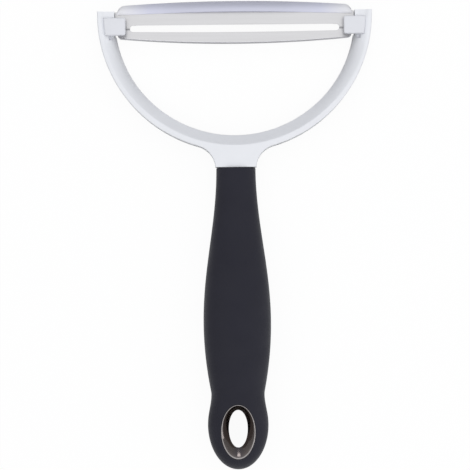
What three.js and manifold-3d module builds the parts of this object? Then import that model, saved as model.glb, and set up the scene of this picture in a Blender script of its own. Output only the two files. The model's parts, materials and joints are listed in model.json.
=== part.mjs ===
// Wide Y-peeler: a metal fork on a soft-grip handle, and a slotted blade that swivels between the fork tips.
// Millimetres. X runs across the blade, Y along the handle towards the blade, Z up out of the front face.
// The peeler lies on its back on Z = 0, with the origin under the middle of its length and width.
import * as THREE from "three";
import { mergeVertices } from "three/addons/utils/BufferGeometryUtils.js";
import Module from "manifold-3d";

const wasm = await Module();
wasm.setup();

// Clearances
const FIT = 0.15; // between pieces that are fixed together
const PLAY = 0.08; // round a pin in the seat it turns in
const SIDE_PLAY = 0.3; // between a blade end and the fork tip beside it
const OVERRUN = 1; // how far a cut, or a piece that is joined on, runs past a face
const FAR = 200; // longer than anything that a cut runs through

// Fork. Its arms are arcs about one centre, and "drop" and "rise" are measured from that centre.
const FORK_INNER_RADIUS = 51.5;
const ARM_WIDTH = 6.9;
const FORK_DEPTH = 8.7; // front to back at the tips
const ARM_FLAT = 14; // the arms lie flat on the table for this far below the centre
const ARM_RAISED = 0.9; // and reach the neck's height at this share of the inner radius
const BEVEL_WIDTH = 4.4; // sloping inner band, as seen from the front
const ARM_SPREAD = 1; // the bevel is this much wider towards the tips
const ARM_SWELL = 2.4; // and swells by this much there, though it is flat at the neck
const INNER_WALL = 1.8; // upright inner wall behind the bevel, at the tips
const NECK_WALL = 5; // and at the neck
const EDGE_ROUND = 0.5;
const TIP_RISE = 1.5;
const TIP_INSET = 0.3; // the tips' inner faces stand this far inside the inner arc
const TIP_STEP = 0.6; // the pad at each tip lies this far below the front rim
const NECK_LENGTH = 6.9; // from the arms' outer edge to the grip
const NECK_WIDTH = 17.4;
const NECK_DEPTH = 9;
const NECK_LIFT = 2.5; // height of the neck's back above the table
const NECK_FILLET = 10;
const TANG_WIDTH = 9;
const TANG_DEPTH = 4;
const TANG_LENGTH = 72;
const TANG_NOTCH = 1.2; // radius of the notches that key the tang into the core
const TANG_NOTCHES = 4; // on each side

// Pivots
const PIVOT_DROP = 5;
const PIVOT_HEIGHT = 3;
const PIN_RADIUS = 1.1;
const PIN_LENGTH = 4.2; // inside the fork tip
const PIN_HEAD_RADIUS = 1.75; // the blade lies just in front of the heads
const PIN_HEAD_LENGTH = 0.9;
const CAP_REACH = 4.87; // from the tip's inner face in over the blade end
const CAP_HEIGHT = 7.6;
const CAP_PROUD = 0.5; // above the fork's front
const CAP_ROOF = 1.4; // thickness over the blade end, which stops the swing
const CAP_CORNER = 0.9;
const CAP_EDGE = 0.35;
const CAP_PEG_RADIUS = 0.6;
const CAP_PEG_LENGTH = 2;
const CAP_PEG_SPREAD = 2.5; // either side of the pivot
const CLIP_WIDTH = 1.3;
const CLIP_LENGTH = 1.6;
const CLIP_DEPTH = 2.6;
const CLIP_INSET = 1.1; // from the tip's inner face

// Blade
const BLADE_THICKNESS = 0.6;
const BLADE_DROP = 12.35; // middle of the lower edge
const BLADE_BOW = 2.3; // the lower edge is this much higher at its ends
const BLADE_CORNER = 1.6;
const BLADE_INSET = 0.5; // its lower corners stop this far inside the folded ends
const CURL_RADIUS = 1.4; // outside of the lower edge, which turns up
const CURL_ANGLE = 0.8;
const SLOT_MARGIN = 5.1; // from each end of the slot to the end of the lower edge
const SLOT_DROP = 4.15; // cutting edge
const SLOT_HEIGHT = 2.75; // at its ends
const SLOT_BOW = 0.37; // extra height in the middle
const GRIND_WIDTH = 1.3; // ground bevel behind the cutting edge
const GRIND_LAND = 0.2;
const CREASE_DROP = 5.83; // pressed lines that run on from the slot
const CREASE_WIDTH = 0.8;
const CREASE_LENGTH = 3.4;
const CREASE_DEPTH = 0.4;
const EAR_RADIUS = 2.4; // the ends fold back round the pins
const EAR_WRAP = 150; // with a rounding of this many degrees
const EAR_RISE = 1.55; // and run up beside the spine

// Spine moulded over the blade's back edge
const SPINE_RISE = 6.6; // middle of its back edge
const SPINE_BOW = 2.35; // the back edge is this much lower at its ends
const SPINE_FOOT = 1.2; // middle of its edge on the blade's front
const SPINE_FOOT_BOW = 1; // this edge is so much lower at its ends
const SPINE_STEP = 2; // its front stands this far over the blade in the middle
const SPINE_STEP_END = 30; // the step fades out this far from the middle
const SPINE_FEATHER = 0.1; // thickness of its edge beyond there
const SPINE_SKIN = 0.3; // thickness over the blade beyond there
const SPINE_FLAT = 0.7; // from its edge to where its front begins to curve back
const SPINE_STEEP = 0.42; // share of the curve's run in which it would fall if it stayed at its steepest
const SPINE_DEPTH = 4.4; // behind the blade's back in the middle
const SPINE_END_DEPTH = 1.1;
const SPINE_HEEL = 0.5; // thickness of its edge on the blade's back
const SPINE_CORNER = 3.2;
const SPINE_NOSE = 0.5; // rounding of its back edge
const SPINE_HOLD = 1.6; // how far the blade reaches into it
const SPINE_PEGS = 6;
const SPINE_PEG_RADIUS = 0.4;
const SPINE_PEG_PITCH = 13;

// Handle. Stations are measured from the top of the grip.
const HANDLE_LENGTH = 128;
const TOP_WIDTH = 16.7;
const TOP_THICKNESS = 12;
const BELLY_STATION = 65.5;
const BELLY_WIDTH = 28.6;
const BELLY_THICKNESS = 20;
const BELLY_CURVE = 148; // radius of the outline below the belly
const TAIL_WIDTH = 25.7;
const TAIL_LENGTH = 18.9; // the rounded tail is half an ellipse this long
const TAIL_THICKNESS = 15.2;
const TAIL_HEIGHT = 9.2; // of its middle above the table
const TAIL_NOSE = 10; // length over which the tail thins to its end
const WAIST_BLEND = 3.2; // softens the hollow between belly and tail
const SECTION_POWER = 2.3; // 2 is an ellipse, more is squarer
const GRIP_EDGE = 0.6;
const GRIP_WALL = 2;
const TAIL_TIP = 0.3; // half size of the blunt point that closes the tail

// Hanging hole
const HOLE_INSET = 17.7; // from its middle to the end of the tail
const HOLE_WIDTH = 8;
const HOLE_LENGTH = 16;
const FUNNEL = 2.7; // the mouths are this much bigger at the sides
const FUNNEL_ENDS = 1.09; // this many times that at the ends
const FUNNEL_LEAN = 0.33; // and lie nearer the end of the tail by this share of it
const FUNNEL_DEPTH = 3.2; // from the front mouth to where the hole is narrowest and the two rings meet
const LIP_WIDTH = 0.55;
const LIP_DEPTH = 0.8;
const LIP_PROUD = 0.2;
const LIP_ROUND = 0.2;
const LIP_LEDGE = 0.35; // the lip overhangs the rest of the ring

// How finely round things are divided
const GRIP_SIDES = 28;
const CORE_SIDES = 16; // hidden surfaces inside the grip
const PIN_SIDES = 20;
const HOLE_SIDES = 36;
const ARM_STEPS = 60;
const NECK_STEPS = 9;
const BEVEL_STEPS = 4;
const BLADE_STEPS = 16;
const SHOULDER_STEPS = 8;
const WAIST_STEPS = 10;
const TAIL_STEPS = 9;
const CROWN_STEPS = 6;
const EDGE_STEPS = 3;
const CORNER_STEPS = 4;
const WELD = 1e-5; // points nearer than this are one

// Places that follow from the sizes
const FORK_OUTER_RADIUS = FORK_INNER_RADIUS + ARM_WIDTH;
const GRIP_DROP = FORK_OUTER_RADIUS + NECK_LENGTH;
const FORK_Y = (GRIP_DROP + HANDLE_LENGTH - SPINE_RISE) / 2;
const GRIP_TOP = FORK_Y - GRIP_DROP;
const PIVOT_Y = FORK_Y - PIVOT_DROP;
const RIM_RADIUS = FORK_INNER_RADIUS + BEVEL_WIDTH;
const TIP_FACE = FORK_INNER_RADIUS - TIP_INSET;
const NECK_MIDDLE = NECK_LIFT + NECK_DEPTH / 2;
const SEAT_HEIGHT = PIVOT_HEIGHT - FIT / 2;
const CAP_FRONT = FORK_DEPTH + CAP_PROUD;
const CAP_TOP = PIVOT_Y + CAP_HEIGHT / 2;
const CAP_BOTTOM = PIVOT_Y - CAP_HEIGHT / 2;
const EAR_OUTSIDE = TIP_FACE - SIDE_PLAY;
const EAR_INSIDE = EAR_OUTSIDE - BLADE_THICKNESS;
const BLADE_END = EAR_INSIDE - BLADE_INSET;
const BLADE_BACK = PIVOT_HEIGHT + PIN_HEAD_RADIUS + FIT;
const BLADE_FRONT = BLADE_BACK + BLADE_THICKNESS;
const SLOT_END = BLADE_END - SLOT_MARGIN;
const SPINE_END = EAR_INSIDE - FIT;
const HOLE_Y = GRIP_TOP - HANDLE_LENGTH + HOLE_INSET;

// Solids and the geometry they come from
function solid(geometry) {
  const bare = new THREE.BufferGeometry();
  bare.setAttribute("position", geometry.getAttribute("position"));
  bare.setIndex(geometry.index);
  const merged = mergeVertices(bare, WELD);
  const vertProperties = merged.attributes.position.array;
  const triVerts = Uint32Array.from(merged.index.array);
  const made = new wasm.Manifold(new wasm.Mesh({ numProp: 3, vertProperties, triVerts }));
  if (made.volume() > 0) return made;
  return new wasm.Manifold(new wasm.Mesh({ numProp: 3, vertProperties, triVerts: triVerts.reverse() }));
}

function union(solids) {
  return solids.reduce((sum, next) => sum.add(next));
}

function geometryOf(made) {
  const { vertProperties, triVerts } = made.getMesh();
  const geometry = new THREE.BufferGeometry();
  geometry.setAttribute("position", new THREE.BufferAttribute(Float32Array.from(vertProperties), 3));
  geometry.setIndex(Array.from(triVerts));
  const faceted = geometry.toNonIndexed();
  faceted.computeVertexNormals();
  return faceted;
}

function box(x0, x1, y0, y1, z0, z1) {
  const geometry = new THREE.BoxGeometry(x1 - x0, y1 - y0, z1 - z0);
  return geometry.translate((x0 + x1) / 2, (y0 + y1) / 2, (z0 + z1) / 2);
}

function extrude(shape, z0, z1, bevel = 0) {
  const geometry = new THREE.ExtrudeGeometry(shape, {
    depth: z1 - z0 - 2 * bevel,
    bevelEnabled: bevel > 0,
    bevelThickness: bevel,
    bevelSize: bevel,
    bevelOffset: -bevel,
    bevelSegments: 2,
    curveSegments: 8,
  });
  return geometry.translate(0, 0, z0 + bevel);
}

function rodX(radius, x0, x1, y, z) {
  const geometry = new THREE.CylinderGeometry(radius, radius, x1 - x0, PIN_SIDES);
  return geometry.rotateZ(Math.PI / 2).translate((x0 + x1) / 2, y, z);
}

function rodZ(radius, x, y, z0, z1) {
  const geometry = new THREE.CylinderGeometry(radius, radius, z1 - z0, PIN_SIDES);
  return geometry.rotateX(Math.PI / 2).translate(x, y, (z0 + z1) / 2);
}

function mirrored(geometry) {
  return geometry.clone().scale(-1, 1, 1);
}

// The triangles of one flat section, turned the same way as its outline.
function capOf(section) {
  const points = section.map(([u, w]) => new THREE.Vector2(u, w));
  const way = Math.sign(THREE.ShapeUtils.area(points));
  return THREE.ShapeUtils.triangulateShape(points, []).map(([a, b, c]) => {
    const turned = Math.sign(THREE.ShapeUtils.area([points[a], points[b], points[c]]));
    return turned === way ? [a, b, c] : [a, c, b];
  });
}

// A skin over a row of sections with equal point counts; place(station, u, w) gives each point in space.
function loft(sections, place, closed = false) {
  const count = sections[0].length;
  const stations = sections.length;
  const positions = [];
  const index = [];
  sections.forEach((section, station) => {
    for (const [u, w] of section) positions.push(...place(station, u, w));
  });
  const bands = closed ? stations : stations - 1;
  for (let station = 0; station < bands; station++) {
    const next = (station + 1) % stations;
    for (let i = 0; i < count; i++) {
      const j = (i + 1) % count;
      const [a, b] = [station * count + i, station * count + j];
      const [c, d] = [next * count + j, next * count + i];
      index.push(a, b, c, a, c, d);
    }
  }
  if (!closed) {
    const last = (stations - 1) * count;
    for (const [a, b, c] of capOf(sections[0])) index.push(c, b, a);
    for (const [a, b, c] of capOf(sections[stations - 1])) index.push(last + a, last + b, last + c);
  }
  const geometry = new THREE.BufferGeometry();
  geometry.setAttribute("position", new THREE.Float32BufferAttribute(positions, 3));
  geometry.setIndex(index);
  return geometry;
}

function ease(t) {
  return (1 - Math.cos(Math.PI * THREE.MathUtils.clamp(t, 0, 1))) / 2;
}

function arcPoints(u, w, radius, from, to, steps) {
  return Array.from({ length: steps + 1 }, (_, i) => {
    const angle = from + ((to - from) * i) / steps;
    return [u + radius * Math.cos(angle), w + radius * Math.sin(angle)];
  });
}

function spread(from, to, steps) {
  return Array.from({ length: steps + 1 }, (_, i) => from + ((to - from) * i) / steps);
}

// Fork: arms, neck and tang in one casting
function forkSection(angle) {
  const drop = -FORK_INNER_RADIUS * Math.sin(angle);
  const raised = ease((drop - ARM_FLAT) / (ARM_RAISED * FORK_INNER_RADIUS - ARM_FLAT));
  const back = NECK_LIFT * raised;
  const front = THREE.MathUtils.lerp(FORK_DEPTH, NECK_LIFT + NECK_DEPTH, raised);
  const edge = FORK_OUTER_RADIUS - EDGE_ROUND;
  const wall = back + THREE.MathUtils.lerp(INNER_WALL, NECK_WALL, raised);
  const rise = front - wall;
  const width = BEVEL_WIDTH + ARM_SPREAD * (1 - raised);
  const swell = (ARM_SWELL * (1 - raised)) / Math.hypot(width, rise);
  const bevel = new THREE.QuadraticBezierCurve(
    new THREE.Vector2(FORK_INNER_RADIUS + width, front),
    new THREE.Vector2(FORK_INNER_RADIUS + width / 2 - rise * swell, wall + rise / 2 + width * swell),
    new THREE.Vector2(FORK_INNER_RADIUS, wall),
  );
  return [
    [FORK_INNER_RADIUS, back],
    ...arcPoints(edge, back + EDGE_ROUND, EDGE_ROUND, -Math.PI / 2, 0, EDGE_STEPS),
    ...arcPoints(edge, front - EDGE_ROUND, EDGE_ROUND, 0, Math.PI / 2, EDGE_STEPS),
    ...bevel.getPoints(BEVEL_STEPS).map(({ x, y }) => [x, y]),
  ];
}

function forkArms() {
  const pastTip = Math.asin((TIP_RISE + OVERRUN) / FORK_INNER_RADIUS);
  const angles = spread(pastTip, -Math.PI - pastTip, ARM_STEPS);
  return loft(angles.map(forkSection), (i, radius, height) => [
    radius * Math.cos(angles[i]),
    FORK_Y + radius * Math.sin(angles[i]),
    height,
  ]);
}

function forkNeck() {
  const half = NECK_WIDTH / 2;
  const away = half + NECK_FILLET;
  const reach = FORK_OUTER_RADIUS + NECK_FILLET;
  const down = Math.sqrt(reach ** 2 - away ** 2);
  const filletY = FORK_Y - down;
  const meetY = FORK_Y - (down * FORK_OUTER_RADIUS) / reach;
  const topY = Math.min(meetY, FORK_Y - RIM_RADIUS - FIT);
  const levels = spread(topY, GRIP_TOP + FIT, NECK_STEPS);
  const sections = levels.map((y) => {
    const above = Math.max(y - filletY, 0);
    const side = away - Math.sqrt(NECK_FILLET ** 2 - above ** 2) - EDGE_ROUND;
    const [low, high] = [NECK_LIFT + EDGE_ROUND, NECK_LIFT + NECK_DEPTH - EDGE_ROUND];
    return [
      ...arcPoints(side, low, EDGE_ROUND, -Math.PI / 2, 0, EDGE_STEPS),
      ...arcPoints(side, high, EDGE_ROUND, 0, Math.PI / 2, EDGE_STEPS),
      ...arcPoints(-side, high, EDGE_ROUND, Math.PI / 2, Math.PI, EDGE_STEPS),
      ...arcPoints(-side, low, EDGE_ROUND, Math.PI, 1.5 * Math.PI, EDGE_STEPS),
    ];
  });
  return loft(sections, (i, across, height) => [across, levels[i], height]);
}

function forkTang() {
  const half = TANG_WIDTH / 2;
  const end = GRIP_TOP - TANG_LENGTH;
  const bar = solid(
    box(-half, half, end, GRIP_TOP + OVERRUN, NECK_MIDDLE - TANG_DEPTH / 2, NECK_MIDDLE + TANG_DEPTH / 2),
  );
  const pitch = TANG_LENGTH / (TANG_NOTCHES + 1);
  return spread(1, TANG_NOTCHES, TANG_NOTCHES - 1).reduce((cut, n) => {
    const y = GRIP_TOP - n * pitch;
    const notch = rodZ(TANG_NOTCH, half, y, 0, FAR);
    return cut.subtract(solid(notch)).subtract(solid(mirrored(notch)));
  }, bar);
}

// The cap's outline from the front on the right-hand tip, grown all round by a clearance.
function capOutline(grow) {
  const inner = TIP_FACE - CAP_REACH - grow;
  const [low, high] = [CAP_BOTTOM - grow, CAP_TOP + grow];
  const radius = RIM_RADIUS - FIT + grow;
  const [lowAngle, highAngle] = [low, high].map((y) => Math.asin((y - FORK_Y) / radius));
  const corner = CAP_CORNER;
  const shape = new THREE.Shape();
  shape.moveTo(inner + corner, low);
  shape.lineTo(radius * Math.cos(lowAngle), low);
  shape.absarc(0, FORK_Y, radius, lowAngle, highAngle, false);
  shape.lineTo(inner + corner, high);
  shape.absarc(inner + corner, high - corner, corner, Math.PI / 2, Math.PI, false);
  shape.lineTo(inner, low + corner);
  shape.absarc(inner + corner, low + corner, corner, Math.PI, 1.5 * Math.PI, false);
  return shape;
}

const CAP_PEG_X = (TIP_FACE + RIM_RADIUS) / 2;
const CAP_PEG_Y = [PIVOT_Y - CAP_PEG_SPREAD, PIVOT_Y + CAP_PEG_SPREAD];

// The clip under a cap, grown by a clearance; it lies in a notch in the bevel.
function clip(grow, top) {
  const start = TIP_FACE + CLIP_INSET;
  const end = CAP_BOTTOM - CLIP_LENGTH;
  const from = SEAT_HEIGHT + FIT - grow;
  return box(start - grow, start + CLIP_WIDTH + grow, end - grow, CAP_BOTTOM + OVERRUN, from, top);
}

// What each tip gains and loses to hold its cap and pin, on the right-hand side.
const tipPad = box(
  TIP_FACE,
  RIM_RADIUS + EDGE_ROUND,
  CAP_BOTTOM,
  FORK_Y + TIP_RISE,
  0,
  FORK_DEPTH - TIP_STEP,
);
const tipCuts = [
  extrude(capOutline(FIT), SEAT_HEIGHT, FAR),
  rodX(PIN_RADIUS + PLAY, TIP_FACE - OVERRUN, TIP_FACE + PIN_LENGTH + FIT, PIVOT_Y, PIVOT_HEIGHT),
  ...CAP_PEG_Y.map((y) =>
    rodZ(CAP_PEG_RADIUS + FIT, CAP_PEG_X, y, SEAT_HEIGHT - CAP_PEG_LENGTH - FIT, FAR),
  ),
  clip(FIT, FAR),
];

function fork() {
  const pads = [tipPad, mirrored(tipPad)].map(solid);
  const whole = union([solid(forkArms()), solid(forkNeck()), forkTang(), ...pads]);
  const swept = PIVOT_Y - Math.hypot(EAR_RADIUS, BLADE_FRONT - PIVOT_HEIGHT) - SIDE_PLAY;
  const between = box(-TIP_FACE, TIP_FACE, swept, FAR, -FAR, FAR);
  const above = box(-FAR, FAR, FORK_Y + TIP_RISE, FAR, -FAR, FAR);
  const cuts = [between, above, ...tipCuts, ...tipCuts.map(mirrored)];
  return cuts.reduce((left, cut) => left.subtract(solid(cut)), whole);
}

// Pivot caps and pins, on the right-hand side
function pivotCap() {
  const block = solid(extrude(capOutline(0), SEAT_HEIGHT + FIT, CAP_FRONT, CAP_EDGE));
  const pegs = CAP_PEG_Y.map((y) =>
    solid(rodZ(CAP_PEG_RADIUS, CAP_PEG_X, y, SEAT_HEIGHT - CAP_PEG_LENGTH, SEAT_HEIGHT + OVERRUN)),
  );
  const tongue = solid(clip(0, SEAT_HEIGHT + FIT + CLIP_DEPTH));
  const inside = TIP_FACE + FIT;
  const cuts = [
    box(0, inside, -FAR, FAR, -FAR, CAP_FRONT - CAP_ROOF),
    rodX(PIN_RADIUS + PLAY, 0, TIP_FACE + PIN_LENGTH + FIT, PIVOT_Y, PIVOT_HEIGHT),
  ];
  return cuts.reduce((left, cut) => left.subtract(solid(cut)), union([block, ...pegs, tongue]));
}

function pivotPin() {
  const headStart = EAR_INSIDE - FIT - PIN_HEAD_LENGTH;
  const shankStart = EAR_INSIDE - FIT;
  const end = TIP_FACE + PIN_LENGTH;
  const profile = [
    [0, headStart],
    [PIN_HEAD_RADIUS, headStart],
    [PIN_HEAD_RADIUS, shankStart],
    [PIN_RADIUS, shankStart],
    [PIN_RADIUS, end],
    [0, end],
  ].map(([radius, along]) => new THREE.Vector2(radius, along));
  const geometry = new THREE.LatheGeometry(profile, PIN_SIDES);
  return solid(geometry.rotateZ(-Math.PI / 2).translate(0, PIVOT_Y, PIVOT_HEIGHT));
}

// Blade with its slot, folded ends and turned-up lower edge
function bladeStations(end, corner) {
  const bend = arcPoints(0, 0, corner, 0, Math.PI / 2, CORNER_STEPS).map(([u]) => end - corner + u);
  const straight = end - corner;
  const middle = spread(-straight, straight, BLADE_STEPS).slice(1, -1);
  return [...bend.map((x) => -x), ...middle, ...bend.reverse()];
}

// How far an outline has turned in from its straight run near a rounded end corner.
function cornerDrop(x, end, corner) {
  const past = Math.max(Math.abs(x) - end + corner, 0);
  return corner - Math.sqrt(Math.max(corner ** 2 - past ** 2, 0));
}

function spineTop(x) {
  return FORK_Y + SPINE_RISE - SPINE_BOW * (x / SPINE_END) ** 2 - cornerDrop(x, SPINE_END, SPINE_CORNER);
}

// The spine's edge on the blade's front
function spineFoot(x) {
  return FORK_Y + SPINE_FOOT - SPINE_FOOT_BOW * (x / SPINE_END) ** 2;
}

function bladeTop(x) {
  return spineFoot(x) + SPINE_HOLD;
}

function bladeBottom(x) {
  return FORK_Y - BLADE_DROP + BLADE_BOW * (x / BLADE_END) ** 2 + cornerDrop(x, BLADE_END, BLADE_CORNER);
}

function bladeSection(x) {
  const bend = bladeBottom(x) + CURL_RADIUS * Math.sin(CURL_ANGLE);
  const inside = CURL_RADIUS - BLADE_THICKNESS;
  const middle = BLADE_BACK + CURL_RADIUS;
  const [flat, turned] = [1.5 * Math.PI, 1.5 * Math.PI - CURL_ANGLE];
  return [
    [bladeTop(x), BLADE_FRONT],
    ...arcPoints(bend, middle, inside, flat, turned, EDGE_STEPS),
    ...arcPoints(bend, middle, CURL_RADIUS, turned, flat, EDGE_STEPS),
    [bladeTop(x), BLADE_BACK],
  ];
}

function slotShape() {
  const cutting = FORK_Y - SLOT_DROP;
  const round = SLOT_HEIGHT / 2;
  const end = SLOT_END - round;
  const low = cutting - SLOT_HEIGHT;
  const shape = new THREE.Shape();
  shape.moveTo(-end, low);
  shape.quadraticCurveTo(0, low - 2 * SLOT_BOW, end, low);
  shape.absarc(end, low + round, round, -Math.PI / 2, Math.PI / 2, false);
  shape.lineTo(-end, cutting);
  shape.absarc(-end, low + round, round, Math.PI / 2, 1.5 * Math.PI, false);
  return shape;
}

// Side view of a folded end: a lobe about the pin that slopes up beside the spine.
function earShape() {
  const far = FORK_Y + EAR_RISE;
  const near = PIVOT_Y - EAR_RADIUS;
  const shape = new THREE.Shape();
  shape.moveTo(far, BLADE_FRONT);
  shape.lineTo(near, BLADE_FRONT);
  shape.lineTo(near, PIVOT_HEIGHT);
  const wrapEnd = Math.PI + THREE.MathUtils.degToRad(EAR_WRAP);
  shape.absarc(PIVOT_Y, PIVOT_HEIGHT, EAR_RADIUS, Math.PI, wrapEnd, false);
  shape.lineTo(far, BLADE_BACK);
  return shape;
}

// Turns a side view, drawn along Y and Z, into a plate between two places along X.
function sidePlate(shape, x0, x1) {
  const geometry = extrude(shape, 0, x1 - x0);
  return geometry.rotateX(Math.PI / 2).rotateZ(Math.PI / 2).translate(x0, 0, 0);
}

const SPINE_PEG_END = (SPINE_PEG_PITCH * (SPINE_PEGS - 1)) / 2;

// The spine's pegs stand midway between its edge and the blade's back edge.
function spinePegs(radius, z0, z1) {
  const places = spread(-SPINE_PEG_END, SPINE_PEG_END, SPINE_PEGS - 1);
  return places.map((x) => rodZ(radius, x, (spineFoot(x) + bladeTop(x)) / 2, z0, z1));
}

function blade() {
  const stations = bladeStations(BLADE_END, BLADE_CORNER);
  const strip = solid(loft(stations.map(bladeSection), (i, y, z) => [stations[i], y, z]));
  const ear = sidePlate(earShape(), EAR_INSIDE, EAR_OUTSIDE);
  const [footLow, footHigh] = [PIVOT_Y - EAR_RADIUS, FORK_Y + EAR_RISE];
  const foot = box(BLADE_END - OVERRUN, EAR_OUTSIDE, footLow, footHigh, BLADE_BACK, BLADE_FRONT);
  const folded = union([strip, ...[ear, foot, mirrored(ear), mirrored(foot)].map(solid)]);
  const cutting = FORK_Y - SLOT_DROP;
  const grind = new THREE.Shape();
  grind.moveTo(cutting - OVERRUN, BLADE_BACK - OVERRUN);
  grind.lineTo(cutting + GRIND_WIDTH, BLADE_BACK - OVERRUN);
  grind.lineTo(cutting + GRIND_WIDTH, BLADE_BACK);
  grind.lineTo(cutting, BLADE_FRONT - GRIND_LAND);
  grind.lineTo(cutting - OVERRUN, BLADE_FRONT - GRIND_LAND);
  const grindEnd = SLOT_END - SLOT_HEIGHT;
  const creaseEnd = SLOT_END + CREASE_LENGTH;
  const creaseY = FORK_Y - CREASE_DROP;
  const creaseFloor = BLADE_FRONT - CREASE_DEPTH;
  const [creaseLow, creaseHigh] = [creaseY - CREASE_WIDTH / 2, creaseY + CREASE_WIDTH / 2];
  const cuts = [
    extrude(slotShape(), -FAR, FAR),
    box(-creaseEnd, creaseEnd, creaseLow, creaseHigh, creaseFloor, BLADE_FRONT + OVERRUN),
    sidePlate(grind, -grindEnd, grindEnd),
    rodX(PIN_RADIUS + FIT, -FAR, FAR, PIVOT_Y, PIVOT_HEIGHT),
    ...spinePegs(SPINE_PEG_RADIUS + FIT, -FAR, FAR),
  ];
  return cuts.reduce((left, cut) => left.subtract(solid(cut)), folded);
}

function spineSection(x) {
  const foot = spineFoot(x);
  const top = spineTop(x);
  const bulge = 1 - (x / SPINE_END) ** 2;
  const step = Math.max(1 - (x / SPINE_STEP_END) ** 2, 0);
  const edge = BLADE_FRONT + FIT + THREE.MathUtils.lerp(SPINE_FEATHER, SPINE_STEP, step);
  const front = BLADE_FRONT + FIT + THREE.MathUtils.lerp(SPINE_SKIN, SPINE_STEP, step);
  const back = BLADE_BACK - THREE.MathUtils.lerp(SPINE_END_DEPTH, SPINE_DEPTH, bulge);
  const nose = back + SPINE_NOSE;
  const shoulder = foot + SPINE_FLAT;
  const crown = new THREE.QuadraticBezierCurve(
    new THREE.Vector2(top, nose),
    new THREE.Vector2(THREE.MathUtils.lerp(top, shoulder, SPINE_STEEP), front),
    new THREE.Vector2(shoulder, front),
  );
  return [
    [foot, BLADE_BACK - FIT - SPINE_HEEL],
    ...arcPoints(top - SPINE_NOSE, nose, SPINE_NOSE, -Math.PI / 2, 0, EDGE_STEPS).slice(0, -1),
    ...crown.getPoints(CROWN_STEPS).map(({ x: y, y: z }) => [y, z]),
    [foot, edge],
  ];
}

function bladeSpine() {
  const stations = bladeStations(SPINE_END, SPINE_CORNER);
  const bar = solid(loft(stations.map(spineSection), (i, y, z) => [stations[i], y, z]));
  const [low, high] = [BLADE_BACK - FIT, BLADE_FRONT + FIT];
  const groove = stations.map((x) => [
    [FORK_Y - OVERRUN, low],
    [bladeTop(x) + FIT, low],
    [bladeTop(x) + FIT, high],
    [FORK_Y - OVERRUN, high],
  ]);
  const longer = (SPINE_END + OVERRUN) / SPINE_END;
  const seated = bar.subtract(solid(loft(groove, (i, y, z) => [stations[i] * longer, y, z])));
  const pegs = spinePegs(SPINE_PEG_RADIUS, low - FIT, high + FIT).map(solid);
  return union([seated, ...pegs]);
}

// Handle shape, as half widths, half thicknesses and middle heights at each station
function softMax(a, b, blend) {
  const overlap = Math.max(blend - Math.abs(a - b), 0) / blend;
  return Math.max(a, b) + (overlap ** 2 * blend) / 4;
}

const TAIL_STATION = HANDLE_LENGTH - TAIL_LENGTH;

function halfWidth(station) {
  const along = (station - TAIL_STATION) / TAIL_LENGTH;
  const tail = (TAIL_WIDTH / 2) * Math.sqrt(Math.max(1 - along ** 2, 0));
  if (station >= TAIL_STATION) return tail;
  if (station <= BELLY_STATION) {
    return THREE.MathUtils.lerp(TOP_WIDTH, BELLY_WIDTH, ease(station / BELLY_STATION)) / 2;
  }
  const belly = BELLY_WIDTH / 2 - (station - BELLY_STATION) ** 2 / (2 * BELLY_CURVE);
  return softMax(belly, tail, WAIST_BLEND);
}

// A value that eases from the top to the belly and on to the tail.
function along(station, top, belly, tail) {
  if (station <= BELLY_STATION) return THREE.MathUtils.lerp(top, belly, ease(station / BELLY_STATION));
  const below = (station - BELLY_STATION) / (TAIL_STATION - BELLY_STATION);
  return THREE.MathUtils.lerp(belly, tail, ease(below));
}

function halfThickness(station) {
  const past = Math.max(station - HANDLE_LENGTH + TAIL_NOSE, 0) / TAIL_NOSE;
  const full = along(station, TOP_THICKNESS, BELLY_THICKNESS, TAIL_THICKNESS) / 2;
  return full * Math.sqrt(Math.max(1 - past ** 2, 0));
}

function middleHeight(station) {
  return along(station, NECK_MIDDLE, BELLY_THICKNESS / 2, TAIL_HEIGHT);
}

// Height of the front (side 1) or back (side -1) of the grip over a point in plan.
function gripSurface(x, y, side) {
  const station = GRIP_TOP - y;
  const across = Math.min(Math.abs(x) / halfWidth(station), 1);
  const share = (1 - across ** SECTION_POWER) ** (1 / SECTION_POWER);
  return middleHeight(station) + side * halfThickness(station) * share;
}

function ovalSection(width, thickness, middle, sides) {
  return spread(0, 2 * Math.PI, sides).slice(0, -1).map((angle) => {
    const [c, s] = [Math.cos(angle), Math.sin(angle)];
    return [
      Math.sign(c) * width * Math.abs(c) ** (2 / SECTION_POWER),
      middle + Math.sign(s) * thickness * Math.abs(s) ** (2 / SECTION_POWER),
    ];
  });
}

// The handle's body, shrunk all round by an inset, with its top edge rounded.
function handleBody(inset, edge, sides) {
  const top = inset;
  const end = HANDLE_LENGTH - inset;
  const rounding = arcPoints(top + edge, 0, edge, Math.PI, Math.PI / 2, EDGE_STEPS).map(([u]) => u);
  const tail = spread(0, Math.PI / 2, TAIL_STEPS).map((turn) => (end - TAIL_STATION) * Math.sin(turn));
  const stations = [
    ...(edge > 0 ? rounding.slice(0, -1) : []),
    ...spread(top + edge, BELLY_STATION, SHOULDER_STEPS),
    ...spread(BELLY_STATION, TAIL_STATION, WAIST_STEPS).slice(1, -1),
    ...tail.map((past) => TAIL_STATION + past),
  ];
  const sections = stations.map((station) => {
    const short = Math.max(edge - (station - top), 0);
    const tuck = inset + edge - Math.sqrt(edge ** 2 - short ** 2);
    const width = Math.max(halfWidth(station) - tuck, TAIL_TIP);
    const thickness = Math.max(halfThickness(station) - tuck, TAIL_TIP);
    return ovalSection(width, thickness, middleHeight(station), sides);
  });
  return loft(sections, (i, across, height) => [across, GRIP_TOP - stations[i], height]);
}

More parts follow.
